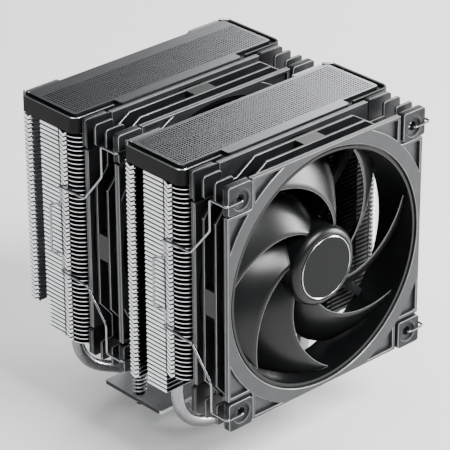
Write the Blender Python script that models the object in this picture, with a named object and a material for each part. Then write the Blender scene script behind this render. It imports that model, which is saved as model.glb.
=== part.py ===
"""Dual-tower processor cooler: two fin stacks on six heat pipes, two 120 mm fans held by wire clips.

All sizes are millimetres and become metres when a node is made. The origin is the centre of the
contact face under the base plate. X runs across the fans, Y along the air flow, Z up.
"""

import math

import bmesh
import bpy
from mathutils import Matrix, Vector

MM = 0.001

# Driving dimensions
TOTAL_HEIGHT = 160.0
TOWER_PITCH = 70.7
TOWER_DEPTH = 38.0
FIN_WIDTH = 122.4
FAN_SIZE = 120.0
FAN_DEPTH = 25.0
HOLE_SPACING = 105.0
FAN_AXIS_Z = 99.5
FRONT_FAN_Y = -81.3
PIPE_RADIUS = 3.0
CLEARANCE = 0.35

# Fin stacks
FIN_PITCH = 2.2
FIN_COUNT = 50
FIRST_FIN_Z = 42.7
PLATE_STEP = 8
PLATE_THICKNESS = 3.0
RAISED_FINS = 5
CORNER_RADIUS = 7.0
CLIP_GROOVE = (-7.1, -4.8)
SIDE_NOTCH = (7.0, 13.5)
GROOVE_DEPTH = 2.4
NOTCH_DEPTH = 3.0
TAB_THICKNESS = 0.9
PIPE_HOLE_RADIUS = 4.7

# Heat pipes
PIPE_ROWS = (10.0, 30.0, 50.0)
BASE_PIPE_PITCH = 6.5
PIPE_TOP_Z = 153.0
PIPE_BEND_Z = 34.0
PIPE_FOOT_Y = (37.0, 35.0, 32.0)
PIPE_BASE_Z = 6.5
PIPE_FILLET = 8.5

# Base
BASE_WIDTH = 40.0
BASE_DEPTH = 38.0
CLAMP_TOP = 15.2
BAR_BOTTOM = 15.5
BAR_TOP = 17.5
BAR_HALF = (46.6, 19.6)
MOUNT_SCREW_X = 42.0
BAR_SCREW_X = 12.0

# Top covers
COVER_HEIGHT = 7.9
COVER_HALF_WIDTH = 63.6
COVER_FRONT = -20.3
COVER_REAR = 20.0
COVER_REAR_MIDDLE = 16.8
COVER_LUG_X = 40.0
COVER_WALL = 1.2
GRILLE_THICKNESS = 1.2
GRILLE_BAND_X = 37.0
GRILLE_BAND_FRONT = -21.3

# Fans
BORE_RADIUS = 55.6
RING_OUTER = 58.6
RING_SIDES = 24
PAD_SIZE = 13.6
PAD_THICKNESS = 2.4
HUB_RADIUS = 19.0
HUB_FRONT = 2.3
HUB_BACK = 19.4
BLADE_COUNT = 7
BLADE_TIP = 54.6
BLADE_ROOT = 18.1
BLADE_THICKNESS = 1.6
BLADE_FRONT = 4.2
BLADE_BACK = 18.6
BLADE_CHORD = 37.0
BLADE_SWEEP_START = 108.0
BLADE_SWEEP = 64.0
STRUT_FRONT = 20.4

# Wire clips
WIRE_RADIUS = 0.7
WIRE_X = 62.3


def clear_scene():
    for old in list(bpy.data.objects):
        bpy.data.objects.remove(old)


def finish(name, colour, roughness, metallic):
    """A plain material for one kind of surface; colour is linear RGB."""
    made = bpy.data.materials.new(name)
    made.use_nodes = True
    shader = made.node_tree.nodes["Principled BSDF"]
    shader.inputs["Base Color"].default_value = (*colour, 1.0)
    shader.inputs["Roughness"].default_value = roughness
    shader.inputs["Metallic"].default_value = metallic
    return made


def to_object(name, bm, material, origin=(0.0, 0.0, 0.0)):
    """Makes an object from a shape in millimetres, with the object's origin on the given point."""
    bmesh.ops.remove_doubles(bm, verts=bm.verts, dist=0.001)
    bmesh.ops.recalc_face_normals(bm, faces=bm.faces)
    centre = Vector(origin)
    bmesh.ops.translate(bm, verts=bm.verts, vec=-centre)
    bmesh.ops.scale(bm, verts=bm.verts, vec=(MM, MM, MM))
    mesh = bpy.data.meshes.new(name)
    bm.to_mesh(mesh)
    bm.free()
    mesh.materials.append(material)
    mesh.shade_smooth()
    mesh.set_sharp_from_angle(angle=math.radians(40))
    node = bpy.data.objects.new(name, mesh)
    node.location = centre * MM
    bpy.context.scene.collection.objects.link(node)
    return node


def combine(node, tool, operation):
    """Adds a Boolean of two objects; the tool is only a guide and isn't built."""
    tool.hide_render = True
    tool.display_type = "WIRE"
    tool.parent = node
    tool.matrix_parent_inverse = node.matrix_basis.inverted()
    step = node.modifiers.new(operation.lower(), "BOOLEAN")
    step.operation = operation
    step.solver = "EXACT"
    step.object = tool


def fused(name, shapes, material, origin=(0.0, 0.0, 0.0)):
    """One node from several overlapping shapes."""
    node = to_object(name, shapes[0], material, origin)
    for number, shape in enumerate(shapes[1:], 1):
        combine(node, to_object(f"{name}_part_{number}", shape, material, origin), "UNION")
    return node


def joined(shapes):
    """One mesh from several shapes that stay apart."""
    whole = bmesh.new()
    for shape in shapes:
        mesh = bpy.data.meshes.new("joined")
        shape.to_mesh(mesh)
        shape.free()
        whole.from_mesh(mesh)
        bpy.data.meshes.remove(mesh)
    return whole


def moved(bm, offset):
    bmesh.ops.translate(bm, verts=bm.verts, vec=offset)
    return bm


def on_plane(point, depth, plane):
    """A 2-D point in 3-D: on a level plane (XY) or on an upright one across the air flow (XZ)."""
    a, b = point
    return (a, b, depth) if plane == "XY" else (a, depth, b)


def plate(outline, low, high, plane="XY", holes=()):
    """A flat plate with straight edges between two depths, with holes through it."""
    bm = bmesh.new()
    for loop in (outline, *holes):
        verts = [bm.verts.new(on_plane(point, low, plane)) for point in loop]
        for first, second in zip(verts, verts[1:] + verts[:1]):
            bm.edges.new((first, second))
    bmesh.ops.triangle_fill(bm, use_beauty=True, edges=bm.edges[:])
    raised = bmesh.ops.extrude_face_region(bm, geom=bm.faces[:])["geom"]
    lifted = [item for item in raised if isinstance(item, bmesh.types.BMVert)]
    bmesh.ops.translate(bm, verts=lifted, vec=on_plane((0.0, 0.0), high - low, plane))
    return bm


def block(low, high):
    """A rectangular block between two corners."""
    bm = bmesh.new()
    size = [b - a for a, b in zip(low, high)]
    middle = [(a + b) / 2 for a, b in zip(low, high)]
    bmesh.ops.create_cube(bm, size=1.0, matrix=Matrix.Translation(middle) @ Matrix.Diagonal((*size, 1.0)))
    return bm


def circle(centre, radius, sides, turn=0.0):
    """The corners of a regular polygon, from an angle in degrees."""
    angles = [math.radians(turn + 360.0 * k / sides) for k in range(sides)]
    return [(centre[0] + radius * math.cos(a), centre[1] + radius * math.sin(a)) for a in angles]


def arc(centre, radius, start, end, steps):
    """Points on an arc between two angles in degrees, both ends included."""
    angles = [math.radians(start + (end - start) * k / steps) for k in range(steps + 1)]
    return [(centre[0] + radius * math.cos(a), centre[1] + radius * math.sin(a)) for a in angles]


def rounded_rectangle(half_x, half_y, radius, steps=3):
    corners = [(1, 1, 0), (-1, 1, 90), (-1, -1, 180), (1, -1, 270)]
    points = []
    for sign_x, sign_y, start in corners:
        centre = (sign_x * (half_x - radius), sign_y * (half_y - radius))
        points += arc(centre, radius, start, start + 90, steps)
    return points


def turned(profile, sides, axis, place=(0.0, 0.0, 0.0)):
    """A profile of (radius, distance along the axis) points, spun a full turn about that axis."""
    bm = bmesh.new()
    across = Vector((1, 0, 0))
    along = Vector(axis)
    verts = [bm.verts.new(across * radius + along * distance) for radius, distance in profile]
    edges = [bm.edges.new(pair) for pair in zip(verts, verts[1:])]
    if profile[0][0] > 0 or profile[-1][0] > 0:
        edges.append(bm.edges.new((verts[-1], verts[0])))
    bmesh.ops.spin(
        bm, geom=verts + edges, cent=(0, 0, 0), axis=along, angle=math.tau, steps=sides, use_merge=True
    )
    bmesh.ops.remove_doubles(bm, verts=bm.verts, dist=0.001)
    return moved(bm, place)


def filleted(points, radius, steps):
    """A path through 3-D points whose corners are rounded off, starting this far from each corner."""
    path = [Vector(points[0])]
    for before, corner, after in zip(points, points[1:], points[2:]):
        corner = Vector(corner)
        back = Vector(before) - corner
        ahead = Vector(after) - corner
        start = corner + back.normalized() * min(radius, back.length * 0.48)
        end = corner + ahead.normalized() * min(radius, ahead.length * 0.48)
        for k in range(steps + 1):
            t = k / steps
            path.append(start.lerp(corner, t).lerp(corner.lerp(end, t), t))
    path.append(Vector(points[-1]))
    return path


def tube(path, radius, sides, turn=0.5):
    """A solid round bar along a path, with its section carried along without twist."""
    bm = bmesh.new()
    tangents = []
    for k, point in enumerate(path):
        before, after = path[max(k - 1, 0)], path[min(k + 1, len(path) - 1)]
        tangents.append((after - before).normalized())
    side = tangents[0].orthogonal().normalized()
    if abs(tangents[0].x) < 0.9:
        side = (Vector((1, 0, 0)) - tangents[0] * tangents[0].x).normalized()
    rings = []
    for k, (point, tangent) in enumerate(zip(path, tangents)):
        if k:
            side = tangents[k - 1].rotation_difference(tangent) @ side
        up = tangent.cross(side)
        angles = [math.tau * (j + turn) / sides for j in range(sides)]
        ring = [point + (side * math.cos(a) + up * math.sin(a)) * radius for a in angles]
        rings.append([bm.verts.new(corner) for corner in ring])
    for lower, upper in zip(rings, rings[1:]):
        for j in range(sides):
            following = (j + 1) % sides
            bm.faces.new((lower[j], lower[following], upper[following], upper[j]))
    bm.faces.new(rings[0][::-1])
    bm.faces.new(rings[-1])
    return bm


def pipe_places():
    """Of each heat pipe: place across the tower, place across the base, and how far out its foot bends."""
    places = []
    for sign in (-1, 1):
        for row, (tower_x, foot_y) in enumerate(zip(PIPE_ROWS, PIPE_FOOT_Y)):
            places.append((sign * tower_x, sign * BASE_PIPE_PITCH * (row + 0.5), foot_y))
    return sorted(places)


def base_profile(edge_z, flat_z):
    """Section of a base part: flat on one side, with a half-octagon groove for each pipe on the other."""
    half = BASE_WIDTH / 2
    wide = (PIPE_RADIUS + CLEARANCE) * math.cos(math.radians(22.5))
    narrow = (PIPE_RADIUS + CLEARANCE) * math.sin(math.radians(22.5))
    toward = -1 if flat_z < edge_z else 1
    points = [(-half, flat_z), (-half, edge_z)]
    for _, x, _ in pipe_places():
        points += [(x - wide, edge_z), (x - wide, PIPE_BASE_Z + toward * narrow)]
        points += [(x - narrow, PIPE_BASE_Z + toward * wide), (x + narrow, PIPE_BASE_Z + toward * wide)]
        points += [(x + wide, PIPE_BASE_Z + toward * narrow), (x + wide, edge_z)]
    return points + [(half, edge_z), (half, flat_z)]


def make_base(copper, aluminium, steel):
    depth = BASE_DEPTH / 2
    section = base_profile(PIPE_BASE_Z - 0.15, 0.0)
    to_object("base_plate", plate(section, -depth, depth, "XZ"), copper)
    section = base_profile(PIPE_BASE_Z + 0.15, CLAMP_TOP)
    clamp = to_object("pipe_clamp_block", plate(section, -depth, depth, "XZ"), aluminium)
    screw_places = [(side * BAR_SCREW_X, 0.0) for side in (-1, 1)]
    sockets = [plate(circle(place, 1.7, 8), 11.0, CLAMP_TOP + 1) for place in screw_places]
    combine(clamp, to_object("clamp_sockets", joined(sockets), aluminium), "DIFFERENCE")
    holes = [circle((side * MOUNT_SCREW_X, 0.0), 2.6, 12) for side in (-1, 1)]
    holes += [circle(place, 1.9, 8) for place in screw_places]
    outline = rounded_rectangle(*BAR_HALF, 1.0, 2)
    to_object("mounting_crossbar", plate(outline, BAR_BOTTOM, BAR_TOP, holes=holes), aluminium)
    for side, place in zip(("left", "right"), screw_places):
        profile = [(0, 11.4), (1.35, 11.4), (1.35, BAR_TOP + 0.3), (3.0, BAR_TOP + 0.3)]
        profile += [(3.0, BAR_TOP + 1.6), (2.4, BAR_TOP + 2.2), (0, BAR_TOP + 2.2)]
        to_object(f"crossbar_screw_{side}", turned(profile, 12, (0, 0, 1), (*place, 0)), steel)


def make_heat_pipes(nickel):
    """Six U-shaped pipes: down through one tower, inwards to the base, and up through the other."""
    tower_y = TOWER_PITCH / 2
    for number, (tower_x, base_x, foot_y) in enumerate(pipe_places(), 1):
        corners = [
            (tower_x, -tower_y, PIPE_TOP_Z),
            (tower_x, -tower_y, PIPE_BEND_Z),
            (base_x, -foot_y, PIPE_BASE_Z),
            (base_x, foot_y, PIPE_BASE_Z),
            (tower_x, tower_y, PIPE_BEND_Z),
            (tower_x, tower_y, PIPE_TOP_Z),
        ]
        path = filleted(corners, PIPE_FILLET, 3)
        to_object(f"heat_pipe_{number}", tube(path, PIPE_RADIUS, 8), nickel)


def fin_outline(front_cut, rear_cut):
    """Outline of one fin about the tower's centre; a cut takes the front or the rear part off."""
    half, deep, radius = FIN_WIDTH / 2, TOWER_DEPTH / 2, CORNER_RADIUS
    groove, notch = half - GROOVE_DEPTH, half - NOTCH_DEPTH
    right = []
    if not front_cut:
        right += arc((half - radius, radius - deep), radius, -90, 0, 3)
        right += [(half, CLIP_GROOVE[0]), (groove, CLIP_GROOVE[0])]
    right += [(groove, CLIP_GROOVE[1]), (half, CLIP_GROOVE[1])]
    right += [(half, SIDE_NOTCH[0]), (notch, SIDE_NOTCH[0])]
    if not rear_cut:
        right += [(notch, SIDE_NOTCH[1]), (half, SIDE_NOTCH[1]), (half, deep - 1.5), (half - 1.5, deep)]
    return right + [(-x, y) for x, y in reversed(right)]


def make_fin_stack(name, centre_y, front_cut, rear_cut, aluminium):
    """Plates joined by the folded tabs along both sides. Each plate stands for several thin fins."""
    top_z = FIRST_FIN_Z + FIN_PITCH * (FIN_COUNT - 1)
    raised_z = FIRST_FIN_Z + FIN_PITCH * RAISED_FINS
    holes = [circle((tower_x, 0.0), PIPE_HOLE_RADIUS, 4, 45.0) for tower_x, _, _ in pipe_places()]
    plates = []
    for number in range(0, FIN_COUNT, PLATE_STEP):
        low = FIRST_FIN_Z + FIN_PITCH * number
        short = number < RAISED_FINS
        outline = fin_outline(front_cut and short, rear_cut and short)
        plates.append(plate(outline, low, low + PLATE_THICKNESS, holes=holes))
    runs = [
        (-TOWER_DEPTH / 2 + CORNER_RADIUS, CLIP_GROOVE[0] - 0.2, raised_z if front_cut else FIRST_FIN_Z + 1),
        (CLIP_GROOVE[1] + 0.2, SIDE_NOTCH[0] - 0.2, FIRST_FIN_Z + 1),
        (SIDE_NOTCH[1] + 0.2, TOWER_DEPTH / 2 - 2.0, raised_z if rear_cut else FIRST_FIN_Z + 1),
    ]
    tabs = []
    outer = FIN_WIDTH / 2 - 0.1
    for side in (-1, 1):
        for low_y, high_y, low_z in runs:
            across = sorted((side * outer, side * (outer - TAB_THICKNESS)))
            tabs.append(block((across[0], low_y, low_z), (across[1], high_y, top_z + 1.0)))
    shapes = [moved(joined(group), (0, centre_y, 0)) for group in (plates, tabs)]
    fused(name, shapes, aluminium)


def cover_outline(inset):
    """Outline of a top cover about the tower's centre, moved inwards by the inset."""
    half, radius = COVER_HALF_WIDTH - inset, 5.5 - inset
    front, rear, middle = COVER_FRONT + inset, COVER_REAR - inset, COVER_REAR_MIDDLE - inset
    lug = COVER_LUG_X + inset
    right = arc((half - radius, front + radius), radius, -90, 0, 4)
    right += [(half, rear - 2.5), (half - 2.5, rear), (lug, rear), (lug, middle)]
    return right + [(-x, y) for x, y in reversed(right)]


def grille_outline():
    half = COVER_HALF_WIDTH - 3.5
    front, rear = COVER_FRONT + 3.9, COVER_REAR_MIDDLE - 0.2
    right = [(GRILLE_BAND_X, GRILLE_BAND_FRONT), (GRILLE_BAND_X, front)]
    right += [(half - 2.0, front), (half, front + 2.0), (half, rear)]
    return right + [(-x, y) for x, y in reversed(right)]


def make_top_cover(end, centre_y, plastic, grille_finish):
    """A skirt with a ledge inside, and the perforated plate that lies on the ledge."""
    top, bottom = TOTAL_HEIGHT, TOTAL_HEIGHT - COVER_HEIGHT
    ledge_top = top - GRILLE_THICKNESS - 0.3
    skirt = plate(cover_outline(0.0), bottom, top, holes=[cover_outline(COVER_WALL)])
    opening = rounded_rectangle(54.0, 11.5, 2.0, 2)
    ledge = plate(cover_outline(0.5), ledge_top - 1.4, ledge_top, holes=[opening])
    shapes = [moved(shape, (0, centre_y, 0)) for shape in (skirt, ledge)]
    cover = fused(f"top_cover_{end}", shapes, plastic)
    cuts = [(GRILLE_BAND_X + 0.4, COVER_FRONT - 1.0, COVER_FRONT + 2.0)]
    cuts.append((COVER_LUG_X + 1.6, COVER_REAR_MIDDLE - 1.6, COVER_REAR_MIDDLE + 0.6))
    reliefs = [block((-x, near, ledge_top), (x, far, top + 1)) for x, near, far in cuts]
    relief = moved(joined(reliefs), (0, centre_y, 0))
    combine(cover, to_object(f"top_cover_{end}_relief", relief, plastic), "DIFFERENCE")
    sheet = plate(grille_outline(), top - GRILLE_THICKNESS, top)
    to_object(f"top_grille_{end}", moved(sheet, (0, centre_y, 0)), grille_finish)


def flange_outline():
    """The fan's square face with its four corners left free for the rubber pads."""
    half, inner = FAN_SIZE / 2, FAN_SIZE / 2 - PAD_SIZE - 1.2
    points = []
    for quarter in range(4):
        turn = Matrix.Rotation(math.radians(90 * quarter), 2)
        points += [turn @ Vector(p) for p in ((half, inner), (inner, inner), (inner, half))]
    return [tuple(p) for p in points]


def rail_outline(reach_x, reach_z):
    """One level of ribs: a straight rail along each side, cut away towards the corners."""
    half, cut = FAN_SIZE / 2 - 0.4, 9.0
    quarter = [(half, reach_z), (half - cut, half - 7.0), (half - 7.0, half - cut), (reach_x, half)]
    upper = quarter + [(-x, z) for x, z in reversed(quarter)]
    return upper + [(x, -z) for x, z in reversed(upper)]


def fan_layers(reach_x, reach_z):
    """The flat layers of the frame: ears with the screw holes, flanges, and two levels of rails."""
    mount = HOLE_SPACING / 2
    holes = [circle((x * mount, z * mount), 2.2, 6) for x in (-1, 1) for z in (-1, 1)]
    reach = FAN_SIZE / 2 - 0.2
    square = [(x * reach, z * reach) for x, z in ((1, 1), (-1, 1), (-1, -1), (1, -1))]
    bore = circle((0, 0), (BORE_RADIUS + RING_OUTER) / 2, RING_SIDES, 180.0 / RING_SIDES)
    ears = [plate(square, low, low + 1.3, "XZ", [bore, *holes]) for low in (2.7, 21.0)]
    flanges = [plate(flange_outline(), low, high, "XZ", [bore]) for low, high in ((0.8, 3.3), (21.7, 24.2))]
    rails = [plate(rail_outline(reach_x, reach_z), low, low + 1.4, "XZ", [bore]) for low in (8.0, 15.5)]
    return [joined(group) for group in (ears, flanges, rails)]


def make_fan_frame(name, front_y, reach_x, reach_z, plastic):
    """Ring, flanges, ribs, arms and motor seat in one moulding."""
    ring_profile = [(BORE_RADIUS, 2.2), (RING_OUTER, 2.2), (RING_OUTER, 22.8), (BORE_RADIUS, 22.8)]
    ring = turned(ring_profile, RING_SIDES, (0, 1, 0))
    seat_profile = [(0, 21.2), (4.3, 21.2), (4.3, 8.0), (5.6, 8.0), (5.6, 20.7), (20.0, 20.7)]
    seat_profile += [(20.0, 24.0), (0, 24.0)]
    seat = turned(seat_profile, 16, (0, 1, 0))
    arms = []
    for quarter in range(4):
        arm = block((-2.0, STRUT_FRONT + 0.4, 18.0), (2.0, 23.6, RING_OUTER - 1.8))
        turn = Matrix.Rotation(math.radians(90 * quarter + 41), 3, "Y")
        bmesh.ops.rotate(arm, verts=arm.verts, matrix=turn)
        arms.append(arm)
    shapes = [ring, *fan_layers(reach_x, reach_z), seat, joined(arms)]
    fused(name, [moved(shape, (0, front_y, FAN_AXIS_Z)) for shape in shapes], plastic)


def make_corner_pads(prefix, front_y, rubber):
    """Soft pads at the four corners of both faces, with the hole the wire clip hooks into."""
    mount = HOLE_SPACING / 2
    middle = (FAN_SIZE - PAD_SIZE) / 2
    square = rounded_rectangle(PAD_SIZE / 2, PAD_SIZE / 2, 1.4, 1)
    corners = {"top_left": (-1, 1), "top_right": (1, 1), "bottom_left": (-1, -1), "bottom_right": (1, -1)}
    for face, start in (("front", 0.0), ("rear", FAN_DEPTH - PAD_THICKNESS)):
        for corner, (sign_x, sign_z) in corners.items():
            outline = [(x + sign_x * middle, z + sign_z * middle) for x, z in square]
            hole = circle((sign_x * mount, sign_z * mount), 2.2, 6)
            pad = plate(outline, start, start + PAD_THICKNESS, "XZ", [hole])
            name = f"{prefix}_{face}_pad_{corner}"
            to_object(name, moved(pad, (0, front_y, FAN_AXIS_Z)), rubber)


def blade_point(span, chord, side, number):
    """A point of a swept blade: root to tip, front edge to rear edge, and one of its two faces."""
    radius = BLADE_ROOT + (BLADE_TIP - BLADE_ROOT) * span
    front = BLADE_FRONT + 1.4 * (1 - span)
    width = math.radians(BLADE_CHORD)
    depth = front + (BLADE_BACK - front) * chord
    sweep = math.radians(BLADE_SWEEP_START + BLADE_SWEEP * span**0.85 + 360.0 * number / BLADE_COUNT)
    angle = sweep - width * chord - 0.05 * math.sin(math.pi * chord)
    normal = Vector((BLADE_BACK - front, width * radius)).normalized()
    half = BLADE_THICKNESS / 2 * (0.5 + 0.5 * math.sin(math.pi * chord))
    angle += side * half * normal.x / radius
    return Vector((radius * math.cos(angle), depth + side * half * normal.y, radius * math.sin(angle)))


def make_blade(number, spans=4, chords=3):
    bm = bmesh.new()
    faces = []
    for side in (-1, 1):
        rows = []
        for i in range(spans + 1):
            points = [blade_point(i / spans, j / chords, side, number) for j in range(chords + 1)]
            rows.append([bm.verts.new(point) for point in points])
        faces.append(rows)
        for lower, upper in zip(rows, rows[1:]):
            for j in range(chords):
                bm.faces.new((lower[j], upper[j], upper[j + 1], lower[j + 1]))
    rim = [(i, 0) for i in range(spans)] + [(spans, j) for j in range(chords)]
    rim += [(i, chords) for i in range(spans, 0, -1)] + [(0, j) for j in range(chords, 0, -1)]
    for (i, j), (k, m) in zip(rim, rim[1:] + rim[:1]):
        bm.faces.new((faces[0][i][j], faces[0][k][m], faces[1][k][m], faces[1][i][j]))
    bmesh.ops.triangulate(bm, faces=bm.faces[:])
    return bm


def make_impeller(prefix, front_y, plastic, badge, magnet, steel):
    """Hub cup with its blades, the badge disc, and what turns inside: magnet ring and shaft."""
    axis_point = (0, front_y + 12.0, FAN_AXIS_Z)
    place = (0, front_y, FAN_AXIS_Z)
    cup = [(0, HUB_FRONT), (15.2, HUB_FRONT), (18.0, 3.0), (HUB_RADIUS, 4.6), (HUB_RADIUS, HUB_BACK)]
    cup += [(17.4, HUB_BACK), (17.4, 4.4), (0, 4.4)]
    hub = turned(cup, 18, (0, 1, 0))
    blades = joined([make_blade(number) for number in range(BLADE_COUNT)])
    fused(f"{prefix}_impeller", [moved(hub, place), moved(blades, place)], plastic, axis_point)
    disc = turned([(0, 1.1), (15.0, 1.1), (15.0, 2.0), (0, 2.0)], 18, (0, 1, 0), place)
    to_object(f"{prefix}_hub_badge", disc, badge, axis_point)
    ring = turned([(14.8, 7.0), (16.7, 7.0), (16.7, 18.4), (14.8, 18.4)], 18, (0, 1, 0), place)
    to_object(f"{prefix}_magnet_ring", ring, magnet, axis_point)
    rod = turned([(0, 4.7), (1.5, 4.7), (1.5, 20.9), (0, 20.9)], 8, (0, 1, 0), place)
    to_object(f"{prefix}_shaft", rod, steel, axis_point)


def make_motor(prefix, front_y, brass, copper):
    """What stands still inside the hub: the sleeve bearing and the wound stator."""
    place = (0, front_y, FAN_AXIS_Z)
    sleeve = turned([(1.6, 8.2), (3.9, 8.2), (3.9, 20.8), (1.6, 20.8)], 12, (0, 1, 0), place)
    to_object(f"{prefix}_sleeve_bearing", sleeve, brass)
    poles = []
    for quarter in range(4):
        centre = 90.0 * quarter
        poles += arc((0, 0), 14.2, centre - 33, centre + 33, 4)
        poles += arc((0, 0), 8.2, centre + 38, centre + 52, 1)
    stator = plate(poles, 8.6, 17.4, "XZ", [circle((0, 0), 6.1, 12)])
    to_object(f"{prefix}_stator", moved(stator, place), copper)


def clip_path(front_y, side):
    """The bent wire: hooked in two corner holes, along the fan's side, over the fins, and a finger loop."""
    hook_x = side * HOLE_SPACING / 2
    wire_x = side * WIRE_X
    mount = HOLE_SPACING / 2
    groove_y = front_y + 26.9 + TOWER_DEPTH / 2 + sum(CLIP_GROOVE) / 2
    upper = [
        (hook_x, front_y + 2.6, mount),
        (hook_x, front_y - 1.0, mount),
        (wire_x, front_y - 1.0, mount),
        (wire_x, front_y + 9.2, mount),
        (wire_x, front_y + 9.2, 37.5),
        (wire_x, front_y + 21.5, 22.5),
        (wire_x, groove_y, 21.8),
        (side * (WIRE_X - 1.0), groove_y, 20.6),
        (side * (WIRE_X - 1.0), groove_y, 12.8),
        (side * (WIRE_X + 2.4), groove_y + 3.6, 12.4),
    ]
    lower = [(x, y, -z) for x, y, z in reversed(upper)]
    return [Vector((x, y, z + FAN_AXIS_Z)) for x, y, z in upper + lower]


def make_clips(prefix, front_y, wire):
    for name, side in (("left", -1), ("right", 1)):
        path = clip_path(front_y, side)
        hinge = (side * HOLE_SPACING / 2, front_y - 1.0, FAN_AXIS_Z)
        to_object(f"{prefix}_wire_clip_{name}", tube(path, WIRE_RADIUS, 6), wire, hinge)


def helix(centre_x, radius, low, high, turns, steps):
    """Points along a coil spring that stands on the crossbar."""
    path = []
    for k in range(turns * steps + 1):
        angle = math.tau * k / steps
        height = low + (high - low) * k / (turns * steps)
        path.append(Vector((centre_x + radius * math.cos(angle), radius * math.sin(angle), height)))
    return path


def make_mounting_screws(steel, black_steel):
    """Spring-loaded screws at both ends of the crossbar, each held by a clip ring under it."""
    spring_low, spring_high = BAR_TOP + 0.9, 30.6
    for name, side in (("left", -1), ("right", 1)):
        x = side * MOUNT_SCREW_X
        coil = tube(helix(x, 3.0, spring_low, spring_high, 6, 7), 0.5, 4)
        to_object(f"screw_spring_{name}", coil, steel, (x, 0, BAR_TOP))
        washer = turned([(2.3, 31.4), (4.2, 31.4), (4.2, 32.4), (2.3, 32.4)], 16, (0, 0, 1), (x, 0, 0))
        to_object(f"spring_washer_{name}", washer, steel, (x, 0, 32.0))
        profile = [(0, 11.4), (1.3, 11.4), (1.8, 12.0), (1.8, 13.6), (1.4, 13.6), (1.4, 15.0), (1.95, 15.0)]
        profile += [(1.95, 32.7), (3.9, 32.7), (3.9, 35.6), (3.2, 36.4), (1.3, 36.4), (1.1, 34.6), (0, 34.6)]
        screw = turned(profile, 10, (0, 0, 1), (x, 0, 0))
        to_object(f"mounting_screw_{name}", screw, black_steel, (x, 0, 32.0))
        ring = turned([(1.75, 14.0), (3.4, 14.0), (3.4, 14.7), (1.75, 14.7)], 14, (0, 0, 1), (x, 0, 0))
        to_object(f"screw_clip_ring_{name}", ring, steel, (x, 0, 14.0))


def make_fan(prefix, front_y, reach_x, reach_z, looks):
    make_fan_frame(f"{prefix}_frame", front_y, reach_x, reach_z, looks["fan_plastic"])
    make_corner_pads(prefix, front_y, looks["rubber"])
    make_impeller(prefix, front_y, looks["fan_plastic"], looks["badge"], looks["magnet"], looks["steel"])
    make_motor(prefix, front_y, looks["brass"], looks["copper"])
    make_clips(prefix, front_y, looks["steel"])


def make_cooler():
    clear_scene()
    looks = {
        "copper": finish("nickel_plated_copper", (0.55, 0.53, 0.50), 0.25, 1.0),
        "aluminium": finish("bare_aluminium", (0.72, 0.73, 0.74), 0.35, 1.0),
        "nickel": finish("nickel_plate", (0.62, 0.62, 0.62), 0.22, 1.0),
        "cover": finish("cover_plastic", (0.02, 0.02, 0.022), 0.5, 0.0),
        "grille": finish("grille_paint", (0.05, 0.05, 0.055), 0.4, 0.2),
        "fan_plastic": finish("fan_plastic", (0.018, 0.018, 0.02), 0.45, 0.0),
        "rubber": finish("pad_rubber", (0.03, 0.03, 0.03), 0.75, 0.0),
        "badge": finish("hub_badge", (0.02, 0.02, 0.02), 0.35, 0.3),
        "magnet": finish("magnet", (0.06, 0.06, 0.06), 0.5, 0.6),
        "steel": finish("spring_steel", (0.6, 0.6, 0.6), 0.25, 1.0),
        "black_steel": finish("black_steel", (0.05, 0.05, 0.05), 0.35, 0.9),
        "brass": finish("bearing_bronze", (0.5, 0.35, 0.15), 0.35, 1.0),
    }
    make_base(looks["copper"], looks["aluminium"], looks["black_steel"])
    make_heat_pipes(looks["nickel"])
    half_pitch = TOWER_PITCH / 2
    make_fin_stack("fin_stack_front", -half_pitch, True, False, looks["aluminium"])
    make_fin_stack("fin_stack_rear", half_pitch, False, True, looks["aluminium"])
    make_top_cover("front", -half_pitch, looks["cover"], looks["grille"])
    make_top_cover("rear", half_pitch, looks["cover"], looks["grille"])
    make_fan("front_fan", FRONT_FAN_Y, 30.0, 40.0, looks)
    make_fan("middle_fan", FRONT_FAN_Y + TOWER_PITCH, 40.0, 30.0, looks)
    make_mounting_screws(looks["steel"], looks["black_steel"])


make_cooler()
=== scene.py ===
"""The looks of a dual-tower processor cooler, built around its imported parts.

Shapes are worked out in millimetres in the frame of the parts: X across the fans, Y along the air flow, Z up,
with the origin at the centre of the face that touches the processor.
"""

import math

import bmesh
import bpy
from mathutils import Matrix, Vector


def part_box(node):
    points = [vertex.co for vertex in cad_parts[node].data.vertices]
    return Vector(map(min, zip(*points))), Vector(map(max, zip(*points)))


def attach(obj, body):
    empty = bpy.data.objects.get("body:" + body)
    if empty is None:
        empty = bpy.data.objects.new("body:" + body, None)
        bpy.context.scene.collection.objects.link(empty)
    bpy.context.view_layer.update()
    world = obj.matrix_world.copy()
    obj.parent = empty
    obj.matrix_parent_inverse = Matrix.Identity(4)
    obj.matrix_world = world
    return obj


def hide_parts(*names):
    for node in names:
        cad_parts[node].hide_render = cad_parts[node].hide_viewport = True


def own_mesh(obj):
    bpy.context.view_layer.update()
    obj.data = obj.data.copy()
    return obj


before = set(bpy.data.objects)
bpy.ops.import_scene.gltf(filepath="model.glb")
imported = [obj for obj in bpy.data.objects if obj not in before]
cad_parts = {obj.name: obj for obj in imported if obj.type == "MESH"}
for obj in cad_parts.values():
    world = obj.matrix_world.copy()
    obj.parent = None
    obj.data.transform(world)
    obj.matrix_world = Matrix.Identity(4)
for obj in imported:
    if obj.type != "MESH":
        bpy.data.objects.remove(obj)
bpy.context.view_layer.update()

MM = 0.001

# Fins
FIN_PITCH = 2.2
FIN_COUNT = 50
FIN_THICKNESS = 0.3
SHORT_FINS = 5
FIRST_FIN_Z = 42.7
FRONT_CORNER = 7.0
SIDE_NOTCH = (7.0, 13.5)
SIDE_TAB_GAP = 0.78
FACE_TAB_GAP = 0.95
NOTCH_DEPTH = 8.0
# Rows of bright tabs over the lower front fins: painted light where those fins are lit.
LOW_TABS_PAINTED_LIGHT = 17
FIN_FRONT = -19.0
FIN_REAR = 20.2

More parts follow.
